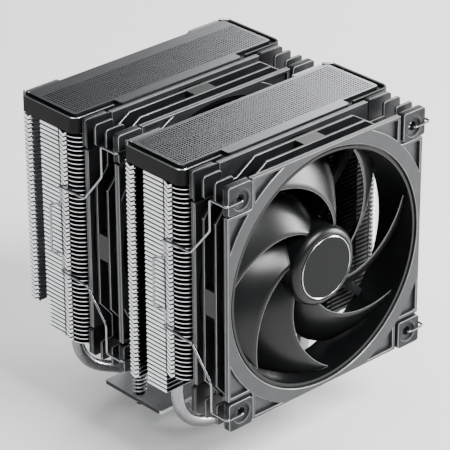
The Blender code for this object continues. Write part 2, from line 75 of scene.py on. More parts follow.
# Heat pipes
PIPE_ROWS = (-50.0, -30.0, -10.0, 10.0, 30.0, 50.0)
BASE_ROWS = (-16.25, -9.75, -3.25, 3.25, 9.75, 16.25)
FOOT_REACH = (32.0, 35.0, 37.0, 37.0, 35.0, 32.0)
PIPE_RADIUS = 3.0
PIPE_TOP_Z = 153.0
PIPE_TURN_Z = 21.0
PIPE_BASE_Z = 6.5
PIPE_BEND = 17.0

# Crossbar and its screws
BAR_SCREW_X = 12.0
BOARD_SCREW_X = 42.0

# Top covers
COVER_HALF = 63.6
COVER_FRONT = -20.3
COVER_CORNER = 4.0
COVER_REAR = 20.0
COVER_MIDDLE = 16.8
LUG_X = 40.0
HOLE_PITCH = 1.5
HOLE_RADIUS = 0.52
HOLES_ACROSS = 78
PLATE = 1.2
RIM_RISE = 1.5

# Fans
BORE = 57.8
FAN_HALF = 60.0
FLANGE = 59.7
FLANGE_DEPTHS = (0.8, 24.2)
PAD = 13.6
SCREW_SPACING = 105.0
RAIL_DEPTHS = ((8.1, 9.4), (15.5, 16.9))
RAIL_EAR_INNER = 49.5
EAR_DEPTHS = (2.45, 21.35)
EAR_THICKNESS = 1.2
EAR_INNER = 45.6
EAR_HOLE = 2.2
BLADES = 7
BLADE_ROOT = 18.2
BLADE_TIP = 54.6
WIRE_RADIUS = 0.58

WORLD_LIGHT = 0.24


def corners(node):
    """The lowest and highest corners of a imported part, in millimetres."""
    low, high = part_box(node)
    return low / MM, high / MM


def middle(node):
    """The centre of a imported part's box, in millimetres."""
    low, high = corners(node)
    return (low + high) / 2


TOP_Z = corners("top_cover_front")[1].z
COVER_BOTTOM_Z = corners("top_cover_front")[0].z
FIN_HALF = corners("fin_stack_front")[1].x
FAN_Z = middle("front_fan_impeller").z
FAN_FACES = {fan: corners(f"{fan}_front_pad_top_left")[0].y for fan in ("front_fan", "middle_fan")}
TOWERS = {end: middle(f"fin_stack_{end}").y for end in ("front", "rear")}


# Materials


def linear(code):
    """An sRGB hex colour as linear RGBA."""
    channels = [int(code[i : i + 2], 16) / 255 for i in (1, 3, 5)]
    return (*[c / 12.92 if c <= 0.04045 else ((c + 0.055) / 1.055) ** 2.4 for c in channels], 1.0)


def add_node(tree, kind, inputs=None, **settings):
    """Adds one shader node, with its settings, fixed inputs and links."""
    node = tree.nodes.new("ShaderNode" + kind)
    for name, value in settings.items():
        setattr(node, name, value)
    for socket, value in (inputs or {}).items():
        if isinstance(value, bpy.types.NodeSocket):
            tree.links.new(value, node.inputs[socket])
        else:
            node.inputs[socket].default_value = value
    return node


def surface(name, roughness, metallic=0.0, specular=0.5):
    """A new material, its node tree and its shader with the values that are the same all over."""
    material = bpy.data.materials.new(name)
    material.use_nodes = True
    tree = material.node_tree
    shader = tree.nodes["Principled BSDF"]
    shader.inputs["Roughness"].default_value = roughness
    shader.inputs["Metallic"].default_value = metallic
    shader.inputs["Specular IOR Level"].default_value = specular
    return material, tree, shader


def grain(tree, size_mm, detail=3.0, stretch=(1.0, 1.0, 1.0)):
    """Noise with grains of a real size; stretch draws them out along an axis."""
    place = add_node(tree, "TexCoord").outputs["Object"]
    scaled = add_node(tree, "Mapping", {"Vector": place, "Scale": tuple(1 / s for s in stretch)})
    noise = add_node(
        tree, "TexNoise", {"Vector": scaled.outputs[0], "Scale": 1 / (size_mm * MM), "Detail": detail}
    )
    return noise.outputs["Fac"]


def dressed(made, tones, tone_pattern, texture=None, roughness=None, relief_mm=0.0, ramp=(0.3, 0.7)):
    """Spreads the colour over one pattern, and the roughness and a low relief over another."""
    material, tree, shader = made
    tone = add_node(tree, "ValToRGB", {"Fac": tone_pattern})
    for stop, place, code in zip(tone.color_ramp.elements, ramp, tones):
        stop.position = place
        stop.color = linear(code)
    tree.links.new(tone.outputs["Color"], shader.inputs["Base Color"])
    if roughness:
        smoothest, roughest = roughness
        spread = add_node(tree, "MapRange", {"Value": texture, "To Min": smoothest, "To Max": roughest})
        tree.links.new(spread.outputs["Result"], shader.inputs["Roughness"])
    if relief_mm:
        relief = add_node(tree, "Bump", {"Height": texture, "Distance": relief_mm * MM})
        tree.links.new(relief.outputs["Normal"], shader.inputs["Normal"])
    return material


def moulded_pbt(name, dark, light, roughness, specular):
    """Glass-filled PBT from a spark-eroded mould: nearly black, with an even grain that softens highlights.

    The real grain is about 0.1 mm; it is drawn at 0.5 mm to show.
    """
    made = surface(name, roughness, specular=specular)
    fine = grain(made[1], 0.5)
    spread = (roughness - 0.05, roughness + 0.07)
    return dressed(made, (dark, light), grain(made[1], 9.0, 2.0), fine, spread, 0.012)


def silicone_rubber(name, dark, light):
    """Moulded silicone: dull, with soft highlights and a faint unevenness from the mould.

    The real grain is about 0.1 mm; it is drawn at 0.7 mm to show.
    """
    made = surface(name, 0.55, specular=0.25)
    return dressed(made, (dark, light), grain(made[1], 4.0), grain(made[1], 0.7), relief_mm=0.02)


def rolled_aluminium(name, dark, light):
    """Mill-finish aluminium sheet, with rolling marks along each fin that draw out its highlights.

    Real rolling marks are finer than 0.1 mm; they are drawn at 0.6 mm to show.
    """
    made = surface(name, 0.3, 1.0)
    marks = grain(made[1], 0.6, 4.0, (12.0, 1.0, 1.0))
    return dressed(made, (dark, light), grain(made[1], 14.0, 2.0), marks, (0.24, 0.4), 0.004)


def brushed_anodised():
    """Aluminium brushed along its length and anodised gunmetal grey: a long, soft gradient on each plate.

    Real brush lines are about 0.1 mm apart; they are drawn at 0.35 mm to show.
    """
    made = surface("brushed_gunmetal_anodised", 0.36, 1.0)
    brush = grain(made[1], 0.35, 5.0, (60.0, 1.0, 1.0))
    return dressed(made, ("#636467", "#77787b"), brush, brush, (0.27, 0.4), 0.006)


def painted_cover():
    """Satin black paint over a moulded cover: deep black, with a faint orange peel in its highlights."""
    made = surface("satin_black_paint", 0.42, specular=0.12)
    peel = grain(made[1], 1.6, 2.0)
    return dressed(made, ("#0b0c0d", "#101112"), grain(made[1], 12.0, 2.0), peel, (0.38, 0.48), 0.01)


def cut_edge_painted_highlight():
    """Bright metal for chamfers: a painted highlight, a thin bright line round a black part."""
    made = surface("cut_edge_painted_highlight", 0.22, 1.0)
    return dressed(made, ("#b9babc", "#d8d9db"), grain(made[1], 0.4, 3.0, (20.0, 20.0, 1.0)))


def plated(name, dark, light, roughness, streak_mm=0.8, stretch=(1.0, 1.0, 12.0)):
    """A plated, drawn or blasted metal, with faint streaks along the way it was worked.

    Real streaks are finer than 0.1 mm; they are drawn at half a millimetre or more to show.
    """
    made = surface(name, roughness, 1.0)
    streaks = grain(made[1], streak_mm, 4.0, stretch)
    spread = (roughness - 0.05, roughness + 0.08)
    return dressed(made, (dark, light), streaks, streaks, spread, 0.003)


def badge_disc_finish():
    """A spun disc in satin black, with rings turned about the fan's axis that catch a thin glint."""
    made = surface("spun_black_disc", 0.42, specular=0.1)
    tree = made[1]
    place = add_node(tree, "TexCoord").outputs["Object"]
    centred = add_node(tree, "Mapping", {"Vector": place, "Location": (0.0, 0.0, -FAN_Z * MM)})
    rings = add_node(
        tree,
        "TexWave",
        {"Vector": centred.outputs[0], "Scale": 1 / (0.8 * MM * math.tau), "Distortion": 0.4},
        wave_type="RINGS",
        rings_direction="Y",
    ).outputs["Fac"]
    return dressed(made, ("#0c0d0e", "#121314"), rings, rings, (0.34, 0.44), ramp=(0.0, 1.0))


def wound_copper():
    """Enamelled copper wire in close turns of 0.5 mm."""
    made = surface("enamelled_copper_wire", 0.35, 0.9)
    place = add_node(made[1], "TexCoord").outputs["Object"]
    scale = 1 / (0.5 * MM * math.tau)
    wave = add_node(made[1], "TexWave", {"Vector": place, "Scale": scale}, bands_direction="Y")
    turns = wave.outputs["Fac"]
    return dressed(made, ("#7a3d20", "#c9713f"), turns, turns, relief_mm=0.1, ramp=(0.1, 0.9))


def pale_floor():
    """Matt white studio board, which glows a little so that it stays pale in the shadows."""
    made = surface("pale_studio_floor", 0.6)
    made[2].inputs["Emission Color"].default_value = linear("#ffffff")
    made[2].inputs["Emission Strength"].default_value = 0.12
    return dressed(made, ("#f1f1f1", "#f4f4f4"), grain(made[1], 60.0, 2.0))


# Fan plastics: copies of one moulded PBT, a lighter grey one on the flanges as painted light and a deep black
# one on the rails as painted shade, deep black on the blades, and thin pale chamfers as painted edge
# highlights
PBT_FRAME_PAINTED_LIGHT = moulded_pbt("pbt_frame_painted_light", "#232426", "#2b2c2e", 0.36, 0.5)
PBT_RAIL_PAINTED_SHADE = moulded_pbt("pbt_rail_painted_shade", "#111214", "#18191b", 0.36, 0.3)
PBT_BLADE = moulded_pbt("moulded_pbt_blade", "#090a0b", "#0d0e0f", 0.3, 0.32)
# Pale copies of the plastic for the chamfers: painted edge highlights.
PBT_EDGE_HIGHLIGHT = moulded_pbt("pbt_edge_painted_highlight", "#707173", "#8a8b8d", 0.3, 0.6)
BLADE_EDGE_HIGHLIGHT = moulded_pbt("blade_edge_painted_highlight", "#6a6b6d", "#7c7d7f", 0.28, 0.6)
RUBBER = silicone_rubber("moulded_silicone_rubber", "#1b1c1e", "#242527")
# A pale copy of the rubber for the pads' chamfers: painted edge highlights.
RUBBER_EDGE_HIGHLIGHT = silicone_rubber("silicone_edge_painted_highlight", "#808183", "#949597")
DISC = badge_disc_finish()

# Fins: the sheet is darkened as painted shade for the depth of the stack, bright strips over its sheared
# edges are painted highlights, and its folded tabs are a brighter copy as painted light
ALUMINIUM_PAINTED_SHADE = rolled_aluminium("rolled_aluminium_painted_shade", "#6b6d70", "#7d7f82")
# Bright strips over the fins' edges: painted highlights.
SHEARED_EDGE_HIGHLIGHT = rolled_aluminium("fin_edge_painted_highlight", "#eceef0", "#fafbfc")
# A brighter copy of the fin aluminium for the tabs: painted light.
TAB_METAL_PAINTED_LIGHT = plated("folded_tabs_painted_light", "#d9dbde", "#f0f1f3", 0.34, 0.6, (1.0, 12.0, 1.0))

# Covers: gunmetal plates in black surrounds with bright chamfers as painted highlights, and grey lugs
GRILLE = brushed_anodised()
PAINT = painted_cover()
CUT_EDGE_HIGHLIGHT = cut_edge_painted_highlight()
LUG_METAL = plated("metallic_grey_paint", "#8c8d90", "#9b9c9f", 0.36, 0.6, (12.0, 1.0, 1.0))

# Base and wires: polished pipes and wires with sharp glints, and a satin bar with black ends as painted shade
NICKEL = plated("nickel_plated_copper_pipe", "#7c7c7e", "#969698", 0.18)
BASE_NICKEL = plated("machined_nickel_base", "#8e8e8f", "#acacad", 0.28, 0.5, (1.0, 14.0, 1.0))
CLAMP_METAL = plated("bead_blasted_aluminium", "#a9abae", "#bfc1c4", 0.42, 0.7, (1.0, 1.0, 1.0))
BAR_METAL = plated("satin_nickel_bar", "#dcdddf", "#eaebed", 0.58, 0.6, (14.0, 1.0, 1.0))
BAR_END_PAINTED_SHADE = plated("bar_end_painted_shade", "#3c3c3d", "#4a4a4b", 0.6, 0.5, (1.0, 1.0, 1.0))
WIRE = plated("drawn_spring_steel", "#85868a", "#a0a1a4", 0.18)
SPRING_STEEL = plated("bright_coil_steel", "#b0b1b3", "#cfd0d2", 0.25)
SCREW_STEEL = plated("black_nickel_steel", "#3a3b3d", "#505153", 0.3)

# Fan motor: copper windings, a sintered bearing, a matt dark magnet and a ground shaft
COPPER_WIRE = wound_copper()
BRONZE = plated("sintered_bronze", "#8a6636", "#a97f48", 0.45, 0.4, (1.0, 1.0, 1.0))
FERRITE = plated("dark_ferrite", "#3c3c3d", "#4a4a4b", 0.6, 0.5, (1.0, 1.0, 1.0))
SHAFT_STEEL = plated("ground_shaft_steel", "#bdbec0", "#d5d6d8", 0.18, 0.5, (1.0, 12.0, 1.0))


# Shapes


def level(z):
    """Flat points laid on a level plane."""
    return lambda x, y: (x, y, z)


def upright(y):
    """Flat points stood across the air flow."""
    return lambda x, z: (x, y, z)


def sideways(x):
    """Flat points stood along the cooler's side."""
    return lambda y, z: (x, y, z)


def ring_points(centre, radius, count, start=0.0, end=360.0):
    """Points on a circle, or on an arc where the angles don't close."""
    closed = abs(end - start) >= 360.0
    steps = count if closed else count - 1
    angles = [math.radians(start + (end - start) * k / steps) for k in range(count)]
    return [(centre[0] + radius * math.cos(a), centre[1] + radius * math.sin(a)) for a in angles]


def rounded(half_x, half_y, radius, centre=(0.0, 0.0), count=5):
    """A rectangle with round corners."""
    points = []
    for sign_x, sign_y, start in ((1, 1, 0), (-1, 1, 90), (-1, -1, 180), (1, -1, 270)):
        corner = (centre[0] + sign_x * (half_x - radius), centre[1] + sign_y * (half_y - radius))
        points += ring_points(corner, radius, count, start, start + 90)
    return points


def both_sides(right):
    """A whole outline from its right half."""
    return right + [(-x, y) for x, y in reversed(right)]


def loop_of(bm, points, place):
    """A closed ring of edges through flat points."""
    verts = [bm.verts.new(place(*point)) for point in points]
    return [bm.edges.new(pair) for pair in zip(verts, verts[1:] + verts[:1])]


def push(bm, faces, by):
    """Extrudes faces by a step."""
    grown = bmesh.ops.extrude_face_region(bm, geom=faces)["geom"]
    verts = [item for item in grown if isinstance(item, bmesh.types.BMVert)]
    bmesh.ops.translate(bm, verts=verts, vec=by)


def slab(outer, place, rise, holes=()):
    """A flat outline given a thickness, with holes through it."""
    bm = bmesh.new()
    rims = [loop_of(bm, points, place) for points in (outer, *holes)]
    bmesh.ops.triangle_fill(bm, edges=[edge for rim in rims for edge in rim], use_beauty=True)
    push(bm, bm.faces[:], rise)
    bmesh.ops.recalc_face_normals(bm, faces=bm.faces)
    return bm


def spun(profile, steps, place, axis=(0.0, 1.0, 0.0)):
    """A closed profile of (radius, distance along the axis) points turned into a ring or a disc."""
    bm = bmesh.new()
    along = Vector(axis)
    across = Vector((1.0, 0.0, 0.0))
    verts = [bm.verts.new(across * radius + along * distance) for radius, distance in profile]
    edges = [bm.edges.new(pair) for pair in zip(verts, verts[1:])]
    if profile[0][0] > 0 or profile[-1][0] > 0:
        edges.append(bm.edges.new((verts[-1], verts[0])))
    bmesh.ops.spin(
        bm, geom=verts + edges, cent=(0, 0, 0), axis=along, angle=math.tau, steps=steps, use_merge=True
    )
    bmesh.ops.remove_doubles(bm, verts=bm.verts, dist=0.0005)
    bmesh.ops.recalc_face_normals(bm, faces=bm.faces)
    bmesh.ops.translate(bm, verts=bm.verts, vec=place)
    return bm


def block(low, high):
    """A squared block between two corners, to be chamfered."""
    bm = bmesh.new()
    size = [b - a for a, b in zip(low, high)]
    centre = [(a + b) / 2 for a, b in zip(low, high)]
    bmesh.ops.create_cube(bm, size=1.0, matrix=Matrix.Translation(centre) @ Matrix.Diagonal((*size, 1.0)))
    return bm


def chamfer(bm, width, segments=1, sharper_than=35.0):
    """Takes the sharp edges off."""
    limit = math.radians(sharper_than)
    edges = [e for e in bm.edges if len(e.link_faces) == 2 and e.calc_face_angle(0.0) > limit]
    cut = bmesh.ops.bevel(
        bm, geom=edges, offset=width, affect="EDGES", segments=segments, profile=0.5, material=-1
    )
    # The chamfer faces take each piece's second material, on most pieces a pale or bright one that is a
    # painted edge highlight.
    for face in cut["faces"]:
        face.material_index = 1
    return bm


def together(*shapes):
    """Several shapes in one mesh."""
    whole = bmesh.new()
    for shape in shapes:
        mesh = bpy.data.meshes.new("part_of_piece")
        shape.to_mesh(mesh)
        shape.free()
        whole.from_mesh(mesh)
        bpy.data.meshes.remove(mesh)
    return whole


def repeated(bm, step, count):
    """The same shape again and again, each one step further."""
    everything = bm.verts[:] + bm.edges[:] + bm.faces[:]
    bmesh.ops.spin(
        bm, geom=everything, axis=(0, 0, 1), angle=0.0, dvec=step, steps=count - 1, use_duplicate=True
    )
    return bm


def turned_about_fan(bm, front_y, degrees):
    """Turns a shape round the fan's axis."""
    centre = Vector((0.0, front_y, FAN_Z))
    turn = Matrix.Rotation(math.radians(degrees), 3, "Y")
    bmesh.ops.rotate(bm, verts=bm.verts, cent=centre, matrix=turn)
    return bm


def piece(name, bm, material, body, slot, *replaced, smooth_below=25.0):
    """Makes a finished piece in metres and lets it ride on its body.

    Of several materials, the first is for the faces and the second for the chamfered edges.
    """
    bmesh.ops.scale(bm, verts=bm.verts, vec=(MM, MM, MM))
    mesh = bpy.data.meshes.new(name)
    bm.to_mesh(mesh)
    bm.free()
    for finish in material if isinstance(material, tuple) else (material,):
        mesh.materials.append(finish)
    mesh.shade_smooth()
    mesh.set_sharp_from_angle(angle=math.radians(smooth_below))
    made = bpy.data.objects.new(name, mesh)
    bpy.context.scene.collection.objects.link(made)
    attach(made, body)
    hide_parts(*replaced)
    return made


def softened_path(points, radius, steps=5):
    """A path whose corners are bent to a radius."""
    path = [Vector(points[0])]
    for before, corner, after in zip(points, points[1:], points[2:]):
        corner = Vector(corner)
        back, ahead = Vector(before) - corner, Vector(after) - corner
        start = corner + back.normalized() * min(radius, back.length * 0.48)
        end = corner + ahead.normalized() * min(radius, ahead.length * 0.48)
        for k in range(steps + 1):
            t = k / steps
            path.append(start.lerp(corner, t).lerp(corner.lerp(end, t), t))
    path.append(Vector(points[-1]))
    return path


def drawn_bar(path, radius, around=3):
    """A round bar along a path, with closed ends."""
    curve = bpy.data.curves.new("bar", "CURVE")
    curve.dimensions = "3D"
    curve.bevel_depth = radius
    curve.bevel_resolution = around
    curve.use_fill_caps = True
    curve.resolution_u = 1
    line = curve.splines.new("POLY")
    line.points.add(len(path) - 1)
    for point, place in zip(line.points, path):
        point.co = (*place, 1.0)
    guide = bpy.data.objects.new("bar", curve)
    bpy.context.scene.collection.objects.link(guide)
    mesh = bpy.data.meshes.new_from_object(guide.evaluated_get(bpy.context.evaluated_depsgraph_get()))
    bpy.data.objects.remove(guide)
    bm = bmesh.new()
    bm.from_mesh(mesh)
    bpy.data.meshes.remove(mesh)
    bmesh.ops.remove_doubles(bm, verts=bm.verts, dist=0.001)
    bmesh.ops.recalc_face_normals(bm, faces=bm.faces)
    return bm


# Fin stacks


def fin_outline(tower_y, front_cut=False, rear_cut=False):
    """A fin seen from above: round front corners, a shallow clip groove and a deep notch in each side.

    The short fins at the foot of a stack have their front or rear end cut away, where no tabs are needed.
    """
    half, edge = FIN_HALF, FIN_HALF - FIN_THICKNESS
    right = ring_points((half - FRONT_CORNER, FIN_FRONT + FRONT_CORNER), FRONT_CORNER, 7, -90, 0)
    right += [(half, -11.4), (edge, -11.2), (edge, -6.4), (edge - 0.8, -6.4), (edge - 0.8, -5.5)]
    if front_cut:
        right = []
    right += [(edge, -5.5), (edge, SIDE_NOTCH[0])]
    if not rear_cut:
        right += [(edge - NOTCH_DEPTH, SIDE_NOTCH[0]), (edge - NOTCH_DEPTH, SIDE_NOTCH[1])]
        right += [(edge, SIDE_NOTCH[1]), (edge, 18.6), (edge - 0.8, FIN_REAR)]
    return both_sides([(x, tower_y + y) for x, y in right])


def fins(tower_y, first, count, front_cut=False, rear_cut=False):
    """A run of flat fins, one pitch apart."""
    outline = fin_outline(tower_y, front_cut, rear_cut)
    fin = slab(outline, level(FIRST_FIN_Z + first * FIN_PITCH), (0, 0, FIN_THICKNESS))
    return repeated(fin, (0, 0, FIN_PITCH), count)


def fin_edge_highlights(tower_y, first, outline):
    """Thin bright strips laid over the fins' edges along one open stretch of both sides: painted highlights
    where the sheared edges catch the light.
    """
    strips = []
    for side in (-1, 1):
        strip = [(side * x, tower_y + y) for x, y in outline]
        place = level(FIRST_FIN_Z + first * FIN_PITCH - 0.01)
        edge = slab(strip, place, (0, 0, FIN_THICKNESS + 0.02))
        strips.append(repeated(edge, (0, 0, FIN_PITCH), FIN_COUNT - first))
    return strips


def side_tabs(tower_y, span, first, drop):
    """Tabs folded over between the fins in both sides; drop bends each one to a V."""
    low_y, high_y = (tower_y + y for y in span)
    centre_y = (low_y + high_y) / 2
    foot = FIRST_FIN_Z + first * FIN_PITCH + FIN_THICKNESS / 2
    head = foot + FIN_PITCH - SIDE_TAB_GAP
    outline = [(low_y, head), (centre_y, head - drop), (high_y, head)]
    outline += [(high_y, foot), (centre_y, foot - drop), (low_y, foot)]
    if not drop:
        outline = [point for point in outline if point[0] != centre_y]
    columns = []
    for side in (-1, 1):
        place = sideways(side * (FIN_HALF - FIN_THICKNESS - 0.05))
        tab = slab(outline, place, (side * (FIN_THICKNESS + 0.05), 0, 0))
        columns.append(repeated(tab, (0, 0, FIN_PITCH), FIN_COUNT - 1 - first))
    return columns


def face_tabs(face_y, out, span, first, height=FIN_PITCH - FACE_TAB_GAP, rows=FIN_COUNT - 1):
    """Tabs folded over between the fins in a front or rear face, on both sides of the middle."""
    foot = FIRST_FIN_Z + first * FIN_PITCH + FIN_THICKNESS / 2
    columns = []
    for side in (-1, 1):
        near, far = sorted(side * x for x in span)
        outline = [(near, foot), (far, foot), (far, foot + height), (near, foot + height)]
        tab = slab(outline, upright(face_y - out * FIN_THICKNESS), (0, out * FIN_THICKNESS, 0))
        columns.append(repeated(tab, (0, 0, FIN_PITCH), rows - first))
    return columns


def fin_stack(end):
    """One tower's fins in a sheet darkened as painted shade, bright strips over their edges as painted
    highlights, their folded tabs in a brighter copy as painted light and the collars round the pipes.
    """
    tower_y = TOWERS[end]
    front_start = SHORT_FINS if end == "front" else 0
    rear_start = SHORT_FINS if end == "rear" else 0
    front_y, rear_y = tower_y + FIN_FRONT, tower_y + FIN_REAR
    stack = together(
        fins(tower_y, 0, SHORT_FINS, front_cut=end == "front", rear_cut=end == "rear"),
        fins(tower_y, SHORT_FINS, FIN_COUNT - SHORT_FINS),
    )
    piece(f"fins_{end}", stack, ALUMINIUM_PAINTED_SHADE, "root", "fin_aluminium", f"fin_stack_{end}")
    centre, half = (FIN_HALF - FRONT_CORNER, FIN_FRONT + FRONT_CORNER), FIN_HALF - FIN_THICKNESS
    arc = ring_points(centre, FRONT_CORNER + 0.02, 7, -90, 0)
    arc += ring_points(centre, FRONT_CORNER - 0.5, 7, 0, -90)
    bright = fin_edge_highlights(tower_y, front_start, arc)
    for near, far in ((6.9, 7.6), (12.9, 13.6), (18.5, 19.3)):
        strip = [(half + 0.1, near), (half + 0.1, far), (half - 0.7, far), (half - 0.7, near)]
        bright += fin_edge_highlights(tower_y, rear_start, strip)
    piece(f"fin_edge_highlights_{end}", together(*bright), SHEARED_EDGE_HIGHLIGHT, "root", "fin_aluminium")
    tabs = side_tabs(tower_y, (-11.2, -6.4), front_start, 1.5)
    tabs += side_tabs(tower_y, (-5.5, 7.0), 0, 0.0)
    tabs += side_tabs(tower_y, (13.5, 18.6), rear_start, 1.5)
    piece(f"side_tabs_{end}", together(*tabs), TAB_METAL_PAINTED_LIGHT, "root", "fin_aluminium")
    tabs = []
    for face_y, out, first in ((front_y, -1, front_start), (rear_y, 1, rear_start)):
        tabs += face_tabs(face_y, out, (45.0, 52.4), first)
        tabs += face_tabs(face_y, out, (55.0, 57.4) if out > 0 else (53.2, 54.1), first)
        tabs += face_tabs(face_y, out, (26.6, 28.9), first, 0.9)
    # Bright tabs over the lower front fins: painted light where those fins are lit.
    if end == "front":
        tabs += face_tabs(front_y, -1, (29.6, 44.3), front_start, rows=LOW_TABS_PAINTED_LIGHT)
    piece(f"face_tabs_{end}", together(*tabs), TAB_METAL_PAINTED_LIGHT, "root", "fin_aluminium")
    collars = []
    for x in PIPE_ROWS:
        ring = [(PIPE_RADIUS + out, z) for out, z in ((0.02, -1.4), (0.45, -1.4), (0.6, 0.0), (0.02, 0.0))]
        collars.append(spun(ring, 24, (x, tower_y, FIRST_FIN_Z + 0.05), (0, 0, 1)))
    piece(f"pipe_collars_{end}", together(*collars), ALUMINIUM_PAINTED_SHADE, "root", "fin_aluminium")


# Top covers


def cover_outline(tower_y):
    """A cover seen from above: round front corners, cut rear corners and a recess between the lugs."""
    corner = (COVER_HALF - COVER_CORNER, COVER_FRONT + COVER_CORNER)
    right = ring_points(corner, COVER_CORNER, 8, -90, 0)
    right += [(COVER_HALF, COVER_REAR - 4.4), (COVER_HALF - 3.6, COVER_REAR)]
    right += [(LUG_X, COVER_REAR), (LUG_X, COVER_MIDDLE)]
    return both_sides([(x, tower_y + y) for x, y in right])


def cover_body(end):
    """The moulded cover: walls, a flat ledge inside and an opening over the fins."""
    tower_y = TOWERS[end]
    opening = rounded(57.0, 13.0, 2.0, (0.0, tower_y - 0.5))
    rise = (0, 0, TOP_Z - RIM_RISE - COVER_BOTTOM_Z)
    body = slab(cover_outline(tower_y), level(COVER_BOTTOM_Z), rise, [opening])
    piece(f"cover_{end}", body, PAINT, "root", "cover_plastic", f"top_cover_{end}")


def cover_rims(end):
    """The raised rim round each short end, chamfered along its top with bright metal as a painted highlight,
    and the lug behind it.
    """
    tower_y = TOWERS[end]
    corner = (COVER_HALF - COVER_CORNER, COVER_FRONT + COVER_CORNER)
    outer = [(40.2, COVER_FRONT)] + ring_points(corner, COVER_CORNER, 8, -90, 0)
    outer += [(COVER_HALF, COVER_REAR - 4.4), (COVER_HALF - 3.6, COVER_REAR)]
    inner = [(COVER_HALF - 4.3, COVER_REAR - 0.8), (COVER_HALF - 1.0, COVER_REAR - 4.8)]
    inner += ring_points(corner, COVER_CORNER - 1.0, 8, 0, -90) + [(40.2, COVER_FRONT + 1.0)]
    for side, name in ((-1, "left"), (1, "right")):
        outline = [(side * x, tower_y + y) for x, y in outer + inner]
        rim = slab(outline, level(TOP_Z - RIM_RISE), (0, 0, RIM_RISE))
        top_edges = [e for e in rim.edges if all(v.co.z > TOP_Z - 0.01 for v in e.verts)]
        top_edges = [e for e in top_edges if e.calc_face_angle(0.0) > 0.6]
        cut = bmesh.ops.bevel(
            rim, geom=top_edges, offset=0.32, affect="EDGES", segments=1, profile=0.5, material=-1
        )
        # The top chamfer takes bright metal: a painted highlight.
        for face in cut["faces"]:
            face.material_index = 1
        piece(f"cover_rim_{end}_{name}", rim, (PAINT, CUT_EDGE_HIGHLIGHT), "root", "cover_plastic")
        lug = rounded(9.4, 1.5, 0.8, (side * 49.6, tower_y + COVER_REAR - 1.5))
        cap = chamfer(slab(lug, level(TOP_Z - 1.6), (0, 0, 0.9)), 0.25)
        piece(f"cover_lug_{end}_{name}", cap, (LUG_METAL, CUT_EDGE_HIGHLIGHT), "root", "cover_plastic")


def perforated_field(low, columns, rows):
    """A flat field of square cells, each with a round hole, at the top of the plate."""
    bm = bmesh.new()
    place = level(TOP_Z)
    half = HOLE_PITCH / 2
    centre = (low[0] + half, low[1] + half)
    cell = [(centre[0] + half * a, centre[1] + half * b) for a, b in ((-1, -1), (1, -1), (1, 1), (-1, 1))]
    rims = loop_of(bm, cell, place) + loop_of(bm, ring_points(centre, HOLE_RADIUS, 8, 22.5, 382.5), place)
    bmesh.ops.triangle_fill(bm, edges=rims, use_beauty=True)
    repeated(bm, (HOLE_PITCH, 0, 0), columns)
    repeated(bm, (0, HOLE_PITCH, 0), rows)
    bmesh.ops.remove_doubles(bm, verts=bm.verts, dist=0.01)
    return bm


def grille_plate(end, rows, first_y):
    """The perforated top plate, with its front band."""
    tower_y = TOWERS[end]
    half = HOLES_ACROSS * HOLE_PITCH / 2
    field = perforated_field((-half, tower_y + first_y), HOLES_ACROSS, rows)
    limit = half - 0.01
    bottom, top = tower_y + first_y + 0.01, tower_y + first_y + rows * HOLE_PITCH - 0.01
    rim = [
        edge
        for edge in field.edges
        if edge.is_boundary
        and (
            all(abs(v.co.x) > limit for v in edge.verts)
            or all(v.co.y < bottom for v in edge.verts)
            or all(v.co.y > top for v in edge.verts)
        )
    ]
    right = [(36.0, -21.2), (37.0, -20.2), (37.0, -16.5)]
    right += ring_points((58.5, -14.9), 1.6, 5, -90, 0) + ring_points((58.5, 15.0), 1.6, 5, 0, 90)
    outline = loop_of(field, both_sides([(x, tower_y + y) for x, y in right]), level(TOP_Z))
    bmesh.ops.triangle_fill(field, edges=rim + outline, use_beauty=True)
    push(field, field.faces[:], (0, 0, -PLATE))
    bmesh.ops.recalc_face_normals(field, faces=field.faces)
    piece(f"grille_{end}", field, GRILLE, "root", "grille_paint", f"top_grille_{end}")


# Fans


def fan_plane(front_y, depth):
    """Places flat points in a plane of the fan, measured from its axis."""
    return lambda x, z: (x, front_y + depth, FAN_Z + z)


def four_corners(quarter):
    """A whole outline from its first quarter, given counter-clockwise."""
    mirrored = [(-x, z) for x, z in reversed(quarter)]
    half = quarter + mirrored
    return half + [(-x, -z) for x, z in half]


def triangle_recess(side_x, side_z, lying):
    """A three-sided recess beside a corner, with its long side round the bore."""
    points = [(43.6, 58.2)] + ring_points((0, 0), 64.6, 6, 47.8, 64.6) if lying else None
    if points is None:
        points = [(58.2, 43.6)] + ring_points((0, 0), 64.6, 6, 25.7, 42.4)
    return [(side_x * x, side_z * z) for x, z in points]


def flange(front_y, depth, way):
    """A square flange with cut-out corners and eight recesses: a pierced face on a closed back."""
    notch = FAN_HALF - PAD - 1.2
    quarter = [(FLANGE, notch), (notch + 1.0, notch), (notch, notch + 1.0), (notch, FLANGE)]
    recesses = [
        triangle_recess(side_x, side_z, lying)
        for side_x in (-1, 1)
        for side_z in (-1, 1)
        for lying in (False, True)
    ]
    bore = ring_points((0, 0), BORE, 96)
    outline = four_corners(quarter)
    face = slab(outline, fan_plane(front_y, depth), (0, way * 1.9, 0), [bore, *recesses])
    back = slab(outline, fan_plane(front_y, depth + way * 1.85), (0, way * 0.95, 0), [bore])
    return together(chamfer(face, 0.3), chamfer(back, 0.2))


